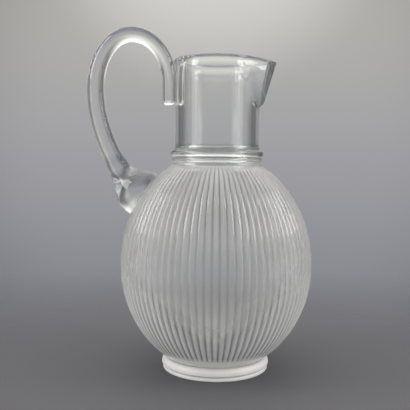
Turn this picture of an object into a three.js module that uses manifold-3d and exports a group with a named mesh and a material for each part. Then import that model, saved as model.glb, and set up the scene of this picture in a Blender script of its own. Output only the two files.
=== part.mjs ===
// Glass water jug: a ribbed satin globe on a disc foot, a clear cylindrical neck with a
// pulled spout, two collar rings where neck and globe meet, and a clear rod handle that
// grows from a round pad on the shoulder and ends against the neck.
// Millimetres, +Z up. The origin is the centre of the foot's underside, on the axis of
// the globe. The spout points to +X and the handle to -X.
import * as THREE from 'three';
import { mergeVertices } from 'three/addons/utils/BufferGeometryUtils.js';
import Module from 'manifold-3d';

const wasm = await Module();
wasm.setup();

// Clearance between two pieces that touch.
const seam = 0.3;

// Foot: a solid disc with a low lip, a groove and a broad rounded band.
const footRadius = 36;
const footHeight = 8.1;
const footLipHeight = 2;
const footGrooveWidth = 0.9;
const footGrooveDepth = 0.7;
const footBandInset = 0.7;
const footWidestHeight = 4.1;
const footTopMargin = 1.3;
const footEdgeRound = 0.7;

// Globe, outside: two half ellipses that meet at the belly.
const bellyRadius = 64;
const bowlSeatRadius = 32.2;
const bowlShoulderMargin = 2.2;
const bowlLowerHeight = 62;
const bowlUpperHeight = 65.6;

// Ribs run from foot to shoulder, with a smooth band left bare at both ends.
const ribCount = 84;
const ribDepth = 1;
const ribGrooveShare = 0.44;
const ribBareBelow = 6;
const ribBareAbove = 1.6;
const ribFade = 3.2;

// Globe, inside.
const bellyWall = 4.8;
const bowlFloor = 4.2;
const cutterOverrun = 4;

// Neck: a thick plain tube, flared a little below a flat lip with rounded edges.
const neckRadius = 28;
const neckWall = 5.4;
const neckHeight = 69.4;
const lipFlare = 1.3;
const lipFlareHeight = 6;
const lipRound = 1.1;

// Spout: a beak pulled out of the neck's upper part.
const beakHeight = 31.5;
const beakReach = 11;
const beakHeel = 2;
const beakHeelHeight = 4;
const beakTipRound = 3.4;
const beakBoreRound = 4.6;
const beakWall = 6.2;
const beakDroop = 1.2;

// Collar rings around the neck's root.
const lowerRingHeight = 4.2;
const lowerRingProud = 2.3;
const lowerRingCrown = 0.8;
const upperRingHeight = 6;
const upperRingProud = 3.1;
const upperRingFlareHeight = 3.2;
const upperRingFlareWidth = 2;
const upperRingFeather = 0.2;

// Handle pad: a round gather of glass pressed on the shoulder.
const padRise = 46.5;
const padRadius = 15.9;
const padDepth = 22.2;
const padLean = 5.2;
const padShoulder = 2.5;
const padBendDepth = 10.6;
const padSink = 4;

// Handle rod: it thins from the pad to its end.
const rodRootRadius = 7.2;
const rodLowerRadius = 6.1;
const rodUpperRadius = 4.6;
const rodRootLength = 10;
const rodBulge = 15.9;
const rodWidestRise = 53.2;
const rodTopRise = 17.1;
const rodTopReach = 29.3;
const rodJoinDrop = 15;
const rodEndDrop = 29.7;
const rodPress = 0.3;
const rodEndRound = 3;

// Heights and radii that follow from the sizes above.
const neckBoreRadius = neckRadius - neckWall;
const beakBoreShare = (neckRadius + beakReach - beakWall - neckBoreRadius) / beakReach;
const bowlShoulderRadius = neckRadius + bowlShoulderMargin;
const bowlBase = footHeight + seam;
const bellyHeight = bowlBase + bowlLowerHeight;
const bowlTop = bellyHeight + bowlUpperHeight;
const neckBase = bowlTop + seam;
const rimHeight = neckBase + neckHeight;
const lowerSemi = bowlLowerHeight / Math.sqrt(1 - (bowlSeatRadius / bellyRadius) ** 2);
const upperSemi = bowlUpperHeight / Math.sqrt(1 - (bowlShoulderRadius / bellyRadius) ** 2);

// Facets: how finely each round is divided.
const bowlRowsEachHalf = 6;
const cavityFacets = 48;
const cavityRowsEachHalf = 6;
const turnedFacets = 48;
const roundSteps = 3;
const beadSteps = 5;
const neckFacets = 52;
const beakRows = 7;
const beakRowCrowding = 1.4;
const beakColumnCrowding = 0.5;
const lipSteps = 2;
const rodFacets = 14;
const rodRows = 38;
const rodEndRows = 3;
const padFacets = 24;
const padRows = 9;
const envelopeRows = 32;

const clearGlass = { color: 0xdfe4e3, roughness: 0.03, metalness: 0, transparent: true, opacity: 0.35 };
const satinGlass = { color: 0xd2d4d4, roughness: 0.42, metalness: 0, transparent: true, opacity: 0.6 };

function clamp01(value) {
  return Math.min(1, Math.max(0, value));
}

function ease(value) {
  const t = clamp01(value);
  return t * t * (3 - 2 * t);
}

function range(count) {
  return Array.from({ length: count }, (_, i) => i);
}

// Joins a list of rings of points into one closed mesh. The rings turn to the left when
// seen from the far end of the list. A loop of rings closes on itself and needs no ends.
function skin(rings, loop = false) {
  const columns = rings[0].length;
  const points = rings.flat();
  const triangles = [];
  const spans = loop ? rings.length : rings.length - 1;
  for (const row of range(spans)) {
    const near = row * columns;
    const far = ((row + 1) % rings.length) * columns;
    for (const column of range(columns)) {
      const next = (column + 1) % columns;
      triangles.push(near + column, near + next, far + next);
      triangles.push(near + column, far + next, far + column);
    }
  }
  if (!loop) {
    const lastStart = (rings.length - 1) * columns;
    points.push(centreOf(rings[0]), centreOf(rings[rings.length - 1]));
    for (const column of range(columns)) {
      const next = (column + 1) % columns;
      triangles.push(points.length - 2, next, column);
      triangles.push(points.length - 1, lastStart + column, lastStart + next);
    }
  }
  const geometry = new THREE.BufferGeometry();
  geometry.setAttribute('position', new THREE.Float32BufferAttribute(points.flatMap((p) => p.toArray()), 3));
  geometry.setIndex(triangles);
  return geometry;
}

// A point at a radius, an angle and a height.
function turned(radius, angle, height) {
  return new THREE.Vector3(radius * Math.cos(angle), radius * Math.sin(angle), height);
}

function centreOf(ring) {
  const sum = ring.reduce((total, point) => total.add(point), new THREE.Vector3());
  return sum.divideScalar(ring.length);
}

// A closed mesh as a solid that can be cut.
function toSolid(geometry) {
  const bare = geometry.clone();
  bare.deleteAttribute('normal');
  bare.deleteAttribute('uv');
  const merged = mergeVertices(bare);
  const index = merged.index.array;
  const triangles = [];
  for (let i = 0; i < index.length; i += 3) {
    const corners = [index[i], index[i + 1], index[i + 2]];
    if (new Set(corners).size === 3) {
      triangles.push(...corners);
    }
  }
  const vertProperties = merged.attributes.position.array;
  const triVerts = new Uint32Array(triangles);
  return new wasm.Manifold(new wasm.Mesh({ numProp: 3, vertProperties, triVerts }));
}

function toGeometry(solid) {
  const mesh = solid.getMesh();
  const geometry = new THREE.BufferGeometry();
  geometry.setAttribute('position', new THREE.BufferAttribute(mesh.vertProperties, 3));
  geometry.setIndex(new THREE.BufferAttribute(mesh.triVerts, 1));
  return geometry;
}

// A profile of [radius, height] pairs, turned about the Z axis. Counted upwards on the
// outside, so that the faces point out.
function revolve(profile, facets) {
  const outline = profile.map(([radius, height]) => new THREE.Vector2(radius, height));
  return new THREE.LatheGeometry(outline, facets).rotateX(Math.PI / 2);
}

// Points on an elliptical arc in the profile plane, from one angle to the other in degrees.
function arc(radius, height, wide, tall, from, to, steps) {
  return range(steps + 1).map((i) => {
    const angle = THREE.MathUtils.degToRad(from + ((to - from) * i) / steps);
    return [radius + wide * Math.cos(angle), height + tall * Math.sin(angle)];
  });
}

function piece(name, geometry, finish) {
  const mesh = new THREE.Mesh(geometry, new THREE.MeshStandardMaterial(finish));
  mesh.name = name;
  return mesh;
}

// Radius of the globe's rib crests at a height.
function bowlRadius(height) {
  const semi = height < bellyHeight ? lowerSemi : upperSemi;
  return bellyRadius * Math.sqrt(Math.max(0, 1 - ((height - bellyHeight) / semi) ** 2));
}

// Heights of the globe's rows, evenly spaced round each half ellipse.
function bowlRowHeights() {
  const lowest = Math.asin((bowlBase - bellyHeight) / lowerSemi);
  const highest = Math.asin((bowlTop - bellyHeight) / upperSemi);
  const below = range(bowlRowsEachHalf).map((i) => lowest * (1 - i / bowlRowsEachHalf));
  const above = range(bowlRowsEachHalf + 1).map((i) => (highest * i) / bowlRowsEachHalf);
  const angles = [...below, ...above];
  return angles.map((angle) => bellyHeight + Math.sin(angle) * (angle < 0 ? lowerSemi : upperSemi));
}

// How deep the ribs are cut at a height: in proportion to the radius, and fading at both
// ends into the bare bands.
function ribDepthAt(height) {
  const fromBelow = ease((height - bowlBase - ribBareBelow) / ribFade);
  const fromAbove = ease((bowlTop - ribBareAbove - height) / ribFade);
  return (ribDepth * fromBelow * fromAbove * bowlRadius(height)) / bellyRadius;
}

// One turn of the globe: broad ribs with a narrow V groove between each two.
function ribbedRing(height) {
  const pitch = (2 * Math.PI) / ribCount;
  const halfCrest = ((1 - ribGrooveShare) * pitch) / 2;
  const crest = bowlRadius(height);
  const groove = crest - ribDepthAt(height);
  return range(ribCount).flatMap((rib) => [
    turned(crest, rib * pitch - halfCrest, height),
    turned(crest, rib * pitch + halfCrest, height),
    turned(groove, (rib + 0.5) * pitch, height),
  ]);
}

// Outline of the room inside the globe, from its floor to above the mouth.
function cavityProfile() {
  const radius = bellyRadius - bellyWall;
  const floorSemi = bowlLowerHeight - bowlFloor;
  const mouthSemi = bowlUpperHeight / Math.sqrt(1 - (neckBoreRadius / radius) ** 2);
  const highest = Math.asin(bowlUpperHeight / mouthSemi);
  const below = range(cavityRowsEachHalf).map((i) => {
    const angle = (-Math.PI / 2) * (1 - i / cavityRowsEachHalf);
    return [radius * Math.cos(angle), bellyHeight + floorSemi * Math.sin(angle)];
  });
  const above = range(cavityRowsEachHalf + 1).map((i) => {
    const angle = (highest * i) / cavityRowsEachHalf;
    return [radius * Math.cos(angle), bellyHeight + mouthSemi * Math.sin(angle)];
  });
  below[0][0] = 0;
  return [...below, ...above, [neckBoreRadius, bowlTop + cutterOverrun], [0, bowlTop + cutterOverrun]];
}

function makeBowl() {
  const outside = toSolid(skin(bowlRowHeights().map(ribbedRing)));
  const inside = toSolid(revolve(cavityProfile(), cavityFacets));
  return toGeometry(outside.subtract(inside));
}

function makeFoot() {
  const bandBottom = footLipHeight + footGrooveWidth;
  const topRadius = bowlSeatRadius + footTopMargin;
  const lipRadius = footRadius - footEdgeRound;
  const round = footEdgeRound;
  const widest = footWidestHeight;
  const inset = footBandInset;
  const under = arc(footRadius - inset, widest, inset, widest - bandBottom, -90, 0, roundSteps);
  const over = arc(topRadius, widest, footRadius - topRadius, footHeight - widest, 0, 90, beadSteps);
  return revolve([
    [0, 0],
    ...arc(lipRadius - round, round, round, round, -90, 0, roundSteps),
    [lipRadius, footLipHeight],
    [lipRadius - footGrooveDepth, footLipHeight + footGrooveWidth / 2],
    ...under,
    ...over.slice(1),
    [0, footHeight],
  ], turnedFacets);
}

// A ring that carries the globe's shoulder on and rounds in to a narrow crown.
function makeLowerRing() {
  const inner = neckRadius + seam;
  const crown = neckRadius + lowerRingCrown;
  const wide = lowerRingProud - lowerRingCrown;
  const side = arc(crown, neckBase, wide, lowerRingHeight, 0, 90, roundSteps);
  return revolve([
    [inner, neckBase],
    ...side,
    [inner, neckBase + lowerRingHeight],
    [inner, neckBase],
  ], turnedFacets);
}

// A half-round bead whose upper side runs on into a hollow flare up the neck.
function makeUpperRing() {
  const inner = neckRadius + seam;
  const base = neckBase + lowerRingHeight + seam;
  const half = upperRingHeight / 2;
  const proud = upperRingProud - seam;
  const turn = Math.acos(upperRingFlareWidth / proud);
  const flareFoot = base + half + half * Math.sin(turn);
  const flareTop = base + upperRingHeight + upperRingFlareHeight;
  const flareWide = upperRingFlareWidth - upperRingFeather;
  const flareTall = flareTop - flareFoot;
  const bead = arc(inner, base + half, proud, half, -90, THREE.MathUtils.radToDeg(turn), beadSteps);
  const flare = arc(inner + upperRingFlareWidth, flareTop, flareWide, flareTall, -90, -180, roundSteps);
  return revolve([...bead, ...flare.slice(1), [inner, flareTop], [inner, base]], turnedFacets);
}

// Distance from the axis to an outline made of a circle, a small circle further out on
// +X and the two lines that touch both.
function beakedRadius(angle, radius, reach, round) {
  const turn = Math.abs(Math.atan2(Math.sin(angle), Math.cos(angle)));
  const centre = radius + reach - round;
  const lean = Math.acos(Math.min(1, (radius - round) / centre));
  const tipTurn = Math.atan2(round * Math.sin(lean), centre + round * Math.cos(lean));
  if (turn >= lean) {
    return radius;
  }
  if (turn > tipTurn) {
    return radius / Math.cos(lean - turn);
  }
  return centre * Math.cos(turn) + Math.sqrt(round ** 2 - (centre * Math.sin(turn)) ** 2);
}

// How far the beak stands out of the neck at a height.
function beakAt(height) {
  const up = height - (rimHeight - beakHeight);
  return beakHeel * ease(up / beakHeelHeight) + (beakReach - beakHeel) * clamp01(up / beakHeight);
}

// One ring of the neck's wall. Depth runs from 0 on the outside to 1 in the bore.
function neckRing(height, depth) {
  const flare = lipFlare * ease(1 - (rimHeight - height) / lipFlareHeight);
  const beak = beakAt(height);
  const outerReach = Math.max(0, beak - flare);
  const innerReach = Math.max(0, beak * beakBoreShare - flare);
  const droop = beakDroop * clamp01(1 - (rimHeight - height) / beakHeight);
  return range(neckFacets).map((column) => {
    const even = (2 * Math.PI * column) / neckFacets;
    const angle = even - beakColumnCrowding * Math.sin(even);
    const outer = beakedRadius(angle, neckRadius + flare, outerReach, beakTipRound);
    const inner = beakedRadius(angle, neckBoreRadius + flare, innerReach, beakBoreRound);
    const radius = outer + (inner - outer) * depth;
    const sag = droop * ((outer - neckRadius - flare) / beakReach);
    return turned(radius, angle, height - sag);
  });
}

// Heights of the wall's rings, from the neck's base to the foot of the rounded edges.
function neckRowHeights() {
  const beakBase = rimHeight - beakHeight;
  const beak = range(beakRows + 1).map((i) => {
    const share = (i / beakRows) ** beakRowCrowding;
    return beakBase + (rimHeight - lipRound - beakBase) * share;
  });
  return [neckBase, ...beak];
}

function makeNeck() {
  const wallHeights = neckRowHeights();
  const outside = wallHeights.map((height) => neckRing(height, 0));
  const edge = arc(lipRound, rimHeight - lipRound, lipRound, lipRound, 180, 90, lipSteps).slice(1);
  const outerEdge = edge.map(([inset, height]) => neckRing(height, inset / neckWall));
  const innerEdge = [...edge].reverse().map(([inset, height]) => neckRing(height, 1 - inset / neckWall));
  const inside = [...wallHeights].reverse().map((height) => neckRing(height, 1));
  return skin([...outside, ...outerEdge, ...innerEdge, ...inside], true);
}

// Where the pad sits: its centre on the globe, the way out of the glass and the way up
// along it.
function padSeat() {
  const height = bellyHeight + padRise;
  const radius = bowlRadius(height);
  const out = new THREE.Vector3(-radius / bellyRadius ** 2, 0, padRise / upperSemi ** 2).normalize();
  const up = new THREE.Vector3(out.z, 0, -out.x);
  return { centre: new THREE.Vector3(-radius, 0, height), out, up };
}

// A point given by its way along the globe's surface and out of it.
function padPoint(along, outward) {
  const { centre, out, up } = padSeat();
  return centre.clone().addScaledVector(up, along).addScaledVector(out, outward);
}

// Quarter of an ellipse as a Bezier curve that touches both sides of a corner.
function quarterTurn(start, corner, end) {
  const fullness = 0.5523;
  return new THREE.CubicBezierCurve3(
    start,
    start.clone().lerp(corner, fullness),
    end.clone().lerp(corner, fullness),
    end,
  );
}

function padPath() {
  const start = padPoint(0, -padSink);
  const root = padPoint(padLean, padDepth);
  const path = new THREE.CurvePath();
  path.add(new THREE.LineCurve3(start, padPoint(0, 0)));
  path.add(new THREE.QuadraticBezierCurve3(padPoint(0, 0), padPoint(0, padBendDepth), root));
  return path;
}

// Centre line of the rod: up and away from the pad, over the top and down along the neck.
function rodPath() {
  const lead = padPath().getTangent(1);
  const root = padPoint(padLean, padDepth).addScaledVector(lead, seam);
  const widest = new THREE.Vector3(root.x - rodBulge, 0, root.z + rodWidestRise);
  const bend = root.clone().addScaledVector(lead, -rodBulge / lead.x);
  const neckLine = -(neckRadius + rodUpperRadius - rodPress);
  const top = new THREE.Vector3(-(neckRadius + rodTopReach), 0, rimHeight + rodTopRise);
  const join = new THREE.Vector3(neckLine, 0, rimHeight - rodJoinDrop);
  const end = new THREE.Vector3(neckLine, 0, rimHeight - rodEndDrop);
  const path = new THREE.CurvePath();
  path.add(new THREE.QuadraticBezierCurve3(root, bend, widest));
  path.add(quarterTurn(widest, new THREE.Vector3(widest.x, 0, top.z), top));
  path.add(quarterTurn(top, new THREE.Vector3(neckLine, 0, top.z), join));
  path.add(new THREE.LineCurve3(join, end));
  return path;
}

// A ring square to a path in the XZ plane, at a share of its length.
function ringOnPath(path, share, radius, facets) {
  const centre = path.getPoint(share);
  const ahead = path.getTangent(share);
  const side = new THREE.Vector3(ahead.z, 0, -ahead.x);
  return range(facets).map((i) => {
    const angle = (2 * Math.PI * i) / facets;
    const point = centre.clone().addScaledVector(side, radius * Math.cos(angle));
    point.y += radius * Math.sin(angle);
    return point;
  });
}

// The globe's crests as a plain solid, grown by the clearance, to trim the pad to its seat.
function bowlEnvelope() {
  const rows = range(envelopeRows + 1).map((i) => {
    const angle = (Math.PI * i) / envelopeRows - Math.PI / 2;
    const semi = (angle < 0 ? lowerSemi : upperSemi) + seam;
    return [(bellyRadius + seam) * Math.cos(angle), bellyHeight + semi * Math.sin(angle)];
  });
  rows[0][0] = 0;
  rows[envelopeRows][0] = 0;
  return toSolid(revolve(rows, ribCount));
}

function makePad() {
  const path = padPath();
  const rings = range(padRows + 1).map((i) => {
    const share = i / padRows;
    const depth = share * (padDepth + padSink) - padSink;
    const shrink = ease((depth - padShoulder) / (padDepth - padShoulder));
    const radius = padRadius + (rodRootRadius - padRadius) * shrink;
    return ringOnPath(path, share, radius, padFacets);
  });
  return toGeometry(toSolid(skin(rings)).subtract(bowlEnvelope()));
}

function rodRadiusAt(distance, length) {
  const taper = rodLowerRadius + (rodUpperRadius - rodLowerRadius) * (distance / length);
  const flare = (rodRootRadius - rodLowerRadius) * (1 - ease(distance / rodRootLength));
  return taper + flare;
}

function makeRod() {
  const path = rodPath();
  const length = path.getLength();
  const straight = length - rodEndRound;
  const body = range(rodRows + 1).map((i) => {
    const distance = (straight * i) / rodRows;
    return ringOnPath(path, distance / length, rodRadiusAt(distance, length), rodFacets);
  });
  const end = range(rodEndRows).map((i) => {
    const angle = ((Math.PI / 2) * (i + 1)) / rodEndRows;
    const distance = straight + rodEndRound * Math.sin(angle);
    const radius = rodRadiusAt(distance, length) - rodEndRound * (1 - Math.cos(angle));
    return ringOnPath(path, distance / length, radius, rodFacets);
  });
  const neckEnvelope = revolve([
    [0, neckBase],
    [neckRadius + seam, neckBase],
    [neckRadius + seam, rimHeight],
    [0, rimHeight],
  ], ribCount);
  return toGeometry(toSolid(skin([...body, ...end])).subtract(toSolid(neckEnvelope)));
}

const jug = new THREE.Group();
jug.add(piece('foot', makeFoot(), satinGlass));
jug.add(piece('bowl', makeBowl(), satinGlass));
jug.add(piece('lower_collar_ring', makeLowerRing(), satinGlass));
jug.add(piece('upper_collar_ring', makeUpperRing(), clearGlass));
jug.add(piece('neck', makeNeck(), clearGlass));
jug.add(piece('handle_pad', makePad(), clearGlass));
jug.add(piece('handle_rod', makeRod(), clearGlass));

export default jug;
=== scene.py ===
import math

import bpy
from bpy.props import FloatProperty, FloatVectorProperty, IntProperty, PointerProperty
from bpy.types import Operator, Panel, PropertyGroup
from mathutils import Matrix, Vector


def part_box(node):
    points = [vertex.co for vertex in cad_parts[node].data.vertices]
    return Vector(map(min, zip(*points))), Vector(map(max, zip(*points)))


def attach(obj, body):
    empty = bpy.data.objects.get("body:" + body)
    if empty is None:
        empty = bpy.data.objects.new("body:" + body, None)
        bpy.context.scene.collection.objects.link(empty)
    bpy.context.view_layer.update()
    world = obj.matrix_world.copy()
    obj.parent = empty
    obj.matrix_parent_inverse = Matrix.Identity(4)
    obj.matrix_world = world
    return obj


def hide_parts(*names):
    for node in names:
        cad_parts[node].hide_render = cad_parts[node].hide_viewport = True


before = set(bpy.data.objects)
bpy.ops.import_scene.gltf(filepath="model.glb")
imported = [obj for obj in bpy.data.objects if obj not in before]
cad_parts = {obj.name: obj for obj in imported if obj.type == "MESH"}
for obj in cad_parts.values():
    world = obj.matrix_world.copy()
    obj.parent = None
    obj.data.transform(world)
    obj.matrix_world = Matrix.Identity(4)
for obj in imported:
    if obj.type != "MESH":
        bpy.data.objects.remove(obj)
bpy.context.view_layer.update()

bl_info = {
    "name": "Ribbed glass pitcher",
    "version": (1, 0, 0),
    "blender": (4, 5, 0),
    "location": "View3D > Sidebar > Pitcher",
    "description": "Models the glass of a ribbed pitcher round its packed frame, and its stage",
    "category": "Add Mesh",
}

MILLIMETRE = 0.001

# The glass is fused hot, so each piece runs a little into the one it touches.
FUSED = 0.2 * MILLIMETRE

# Columns of a mesh round its axis. Rod and pad have the same number of sides, so that they meet.
PLAIN_COLUMNS = 160
NECK_COLUMNS = 216
COLUMNS_PER_RIB = 8
HANDLE_SIDES = 96

foot_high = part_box("foot")[1]
bowl_low, bowl_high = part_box("bowl")
rim_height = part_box("neck")[1].z
lower_ring_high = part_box("lower_collar_ring")[1]
upper_ring_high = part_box("upper_collar_ring")[1]


def length(name, description, default):
    """A length in metres that a user may change."""
    return FloatProperty(
        name=name, description=description, default=default, min=0.0, unit="LENGTH", precision=5
    )


def colour(name, description, default):
    """A linear colour that a user may change."""
    return FloatVectorProperty(
        name=name, description=description, default=default, subtype="COLOR", min=0.0, max=1.0
    )


def share(name, description, default):
    """A share from 0 to 1 that a user may change."""
    return FloatProperty(
        name=name, description=description, default=default, min=0.0, max=1.0, subtype="FACTOR"
    )


def number(name, description, default, top):
    """A plain number from 0 to top that a user may change."""
    return FloatProperty(name=name, description=description, default=default, min=0.0, max=top)


def watts(name, description, default):
    """A power in watts that a user may change."""
    return FloatProperty(name=name, description=description, default=default, min=0.0, unit="POWER")


class PITCHER_PG_foot(PropertyGroup):
    """Sizes of the disc foot."""

    radius: length("Radius", "Widest radius of the foot", foot_high.x)
    height: length("Height", "Height of the foot", foot_high.z)
    lip_height: length("Lip height", "Height of the lip that stands on the table", 0.002)
    groove_width: length("Groove width", "Width of the groove above the lip", 0.0009)
    groove_depth: length("Groove depth", "Depth of the groove above the lip", 0.0007)
    band_inset: length("Band inset", "How far the band's underside stands back", 0.0007)
    widest_height: length("Widest height", "Height at which the band is widest", 0.0041)
    top_radius: length("Top radius", "Radius of the foot's flat top", 0.0335)
    edge_round: length("Edge round", "Round of the edge that meets the table", 0.0007)


class PITCHER_PG_globe(PropertyGroup):
    """Sizes of the ribbed globe."""

    belly_radius: length("Belly radius", "Widest radius, on the crests of the ribs", bowl_high.x)
    base: length("Base", "Height of the globe's underside", foot_high.z - FUSED)
    top: length("Top", "Height of the globe's shoulder", bowl_high.z)
    belly_height: length("Belly height", "Height at which the globe is widest", bowl_low.z + 0.062)
    seat_radius: length("Seat radius", "Radius where the globe meets the foot", 0.0322)
    shoulder_radius: length("Shoulder radius", "Radius where the globe meets the collar", 0.0302)
    belly_wall: length("Belly wall", "Thickness of the glass at the belly", 0.0048)
    floor: length("Floor", "Thickness of the glass over the foot", 0.0042)
    ribs: IntProperty(name="Ribs", description="Number of ribs round the globe", default=84, min=12)
    rib_depth: length("Rib depth", "Depth of the grooves at the belly", 0.0007)
    bare_below: length("Bare below", "Smooth band between the foot and the ribs", 0.006)
    bare_above: length("Bare above", "Smooth band between the ribs and the collar", 0.0016)
    fade: length("Fade", "Height over which a rib fades out", 0.0032)


class PITCHER_PG_neck(PropertyGroup):
    """Sizes of the neck and its beak."""

    radius: length("Radius", "Outer radius of the neck", 0.028)
    bore_radius: length("Bore radius", "Inner radius of the neck", 0.0226)
    base: length("Base", "Height of the neck's lower end", bowl_high.z - FUSED)
    rim: length("Rim", "Height of the rim", rim_height)
    lip_flare: length("Lip flare", "How far the lip flares out", 0.0013)
    lip_flare_height: length("Lip flare height", "Height over which the lip flares out", 0.006)
    lip_round: length("Lip round", "Round of the lip's two edges", 0.0011)
    beak_height: length("Beak height", "Height of the part pulled into a beak", 0.0315)
    beak_reach: length("Beak reach", "How far the beak's tip stands out of the neck", 0.011)
    beak_heel: length("Beak heel", "How far the beak steps out at its lower end", 0.002)
    beak_heel_height: length("Beak heel height", "Height of that step", 0.004)
    beak_tip_round: length("Beak tip round", "Radius of the beak's tip from above", 0.0034)
    beak_bore_round: length("Beak bore round", "Radius of the beak's inside at its tip", 0.0046)
    beak_wall: length("Beak wall", "Thickness of the glass at the beak", 0.0062)
    beak_droop: length("Beak droop", "How far the tip hangs below the rim", 0.0012)


class PITCHER_PG_collar(PropertyGroup):
    """Sizes of the two collar rings and of the thin bead that they share."""

    joint: length("Joint", "Height at which the lower ring ends and the upper one starts", lower_ring_high.z)
    groove_proud: length("Grooves", "How far the grooves beside the thin bead stand out", 0.0008)
    lower_proud: length("Lower ring", "How far the lower ring stands out at its foot", 0.0023)
    bead_base: length("Thin bead base", "Height where the thin bead starts", lower_ring_high.z - 0.0021)
    bead_top: length("Thin bead top", "Height where the thin bead ends", lower_ring_high.z + 0.0015)
    bead_proud: length("Thin bead", "How far the thin bead stands out", 0.0022)
    upper_proud: length("Upper ring", "How far the upper ring's bead stands out", 0.0031)
    upper_height: length("Upper ring height", "Height of the upper ring without its flare", 0.006)
    flare_width: length("Flare width", "Width of the flare where it leaves the bead", 0.002)
    flare_top: length("Flare top", "Height at which the flare has run out", upper_ring_high.z)


class PITCHER_PG_handle(PropertyGroup):
    """Sizes of the handle's pad and rod."""

    pad_rise: length("Pad rise", "Height of the pad's centre above the belly", 0.0465)
    pad_radius: length("Pad radius", "Radius of the pad on the globe", 0.0159)
    pad_depth: length("Pad depth", "How far the pad stands out of the globe", 0.0222)
    pad_lean: length("Pad lean", "How far the pad's end leans up along the globe", 0.0052)
    pad_shoulder: length("Pad shoulder", "Depth over which the pad keeps its radius", 0.0025)
    pad_bend_depth: length("Pad bend", "Depth at which the pad bends upwards", 0.0106)
    root_radius: length("Root radius", "Radius of the rod where it leaves the pad", 0.0072)
    lower_radius: length("Lower radius", "Radius of the rod's lower end", 0.0061)
    upper_radius: length("Upper radius", "Radius of the rod's upper end", 0.0046)
    root_length: length("Root length", "Length over which the root thins", 0.01)
    bulge: length("Bulge", "How far the rod swings out from its root", 0.0159)
    widest_rise: length("Widest rise", "Height of the widest place above the root", 0.0532)
    top_rise: length("Top rise", "Height of the rod's centre line above the rim", 0.01694)
    top_reach: length("Top reach", "Distance from the neck to the top of the loop", 0.0293)
    join_drop: length("Join drop", "Depth below the rim at which the rod meets the neck", 0.015)
    end_drop: length("End drop", "Depth below the rim at which the rod ends", 0.0297)
    press: length("Press", "How far the rod is pressed into the neck", 0.0006)
    end_round: length("End round", "Round of the rod's end", 0.003)


class PITCHER_PG_glass(PropertyGroup):
    """Colours and finishes of the glass, and the shade painted into the globe's grooves."""

    clear_tint: colour("Clear tint", "Tint of the clear glass", (0.925, 0.933, 0.928))
    satin_tint: colour("Satin tint", "Tint of the globe's glass", (0.950, 0.955, 0.955))
    # Painted shade: the groove colour below stands in for the shade that falls between the ribs, not a tint
    # of the glass. The next two settings set how narrow its line is and how much of it is left at the belly.
    groove_painted_shade: colour("Groove tint", "Tint of the globe's glass between its ribs", (0.18, 0.18, 0.185))
    groove_shade_narrowness: number("Groove narrowness", "How narrow that tint's line is", 1.1, 8.0)
    belly_painted_shade: share("Grooves at the belly", "Share of that tint which is left at the belly", 0.22)
    index: number("Index", "Index of refraction of the glass", 1.5, 3.0)
    clear_roughness: share("Clear roughness", "Roughness of the clear glass", 0.03)
    satin_outside: share("Satin outside", "Roughness of the globe's outside", 0.12)
    satin_inside: share("Satin inside", "Roughness of the globe's inside", 0.45)
    satin_clearness: share("Satin clearness", "Share of light that passes the globe face on", 0.93)
    satin_edge: share("Satin edge", "Share of light that passes the globe near its outline", 0.82)
    satin_base: share("Satin base", "The same share low on the globe, above the foot", 0.0)
    outline_facing: share("Outline facing", "Facing, 0 face on and 1 edge on, where its outline starts", 0.6)
    foot_roughness: share("Foot roughness", "Roughness of the foot's surface", 0.4)
    foot_clearness: share("Foot clearness", "Share of light that passes the foot's surface", 0.34)


class PITCHER_PG_stage(PropertyGroup):
    """Floor, background and lights."""

    floor_colour: colour("Floor", "Colour of the floor", (0.075, 0.0745, 0.084))
    floor_radius: length("Floor radius", "Radius at which the floor has faded out", 0.45)
    floor_whole: share("Floor whole", "Share of that radius up to which the floor is whole", 0.15)
    floor_roughness: share("Floor roughness", "Roughness of the floor", 0.7)
    floor_gloss: share("Floor gloss", "Strength of the floor's reflections", 0.2)
    top_tone: colour("Top tone", "Background high up", (0.474, 0.468, 0.440))
    middle_tone: colour("Middle tone", "Background at the camera's height", (0.342, 0.340, 0.362))
    low_tone: colour("Low tone", "Background below the camera's height", (0.205, 0.213, 0.244))
    side_share: share("Side share", "Tone beside the backdrop against the backdrop's own", 0.4)
    room_share: number("Room share", "Tone of the room round the camera against the sides", 5.0, 10.0)
    glow_colour: colour("Glow", "Colour of the soft lights of the room", (1.0, 0.99, 0.965))
    overhead: number("Overhead glow", "Strength of the soft light overhead", 1.4, 20.0)
    pool: share("Backdrop pool", "Strength of the pool of light high on the backdrop", 0.17)
    ring: number("Ring glow", "Strength of the soft light round the room, above the camera", 0.8, 20.0)
    lamp_colour: colour("Lamps", "Colour of the side lights", (1.0, 0.98, 0.95))
    key_power: watts("Key lights", "Power of each high side light", 4.0)
    fill_power: watts("Fill lights", "Power of each low side light", 0.8)


# Helpers that work on the piece being modelled.

def settings():
    """All settings of the pitcher."""
    return bpy.context.scene.pitcher


def clear_selection():
    """Goes back to object mode with nothing selected, so an operator acts on one piece alone."""
    if bpy.context.mode != "OBJECT":
        bpy.ops.object.mode_set(mode="OBJECT")
    bpy.ops.object.select_all(action="DESELECT")


def select_alone(piece):
    """Selects one piece alone and makes it the active one."""
    clear_selection()
    piece.select_set(True)
    bpy.context.view_layer.objects.active = piece


def ease(value):
    """Smooth step from 0 to 1."""
    t = min(1.0, max(0.0, value))
    return t * t * (3.0 - 2.0 * t)


def arc(radius, height, wide, tall, start, end, steps):
    """Outline points on an elliptical arc, with its angles in degrees."""
    angles = [math.radians(start + (end - start) * i / steps) for i in range(steps + 1)]
    return [(radius + wide * math.cos(a), height + tall * math.sin(a)) for a in angles]


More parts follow.
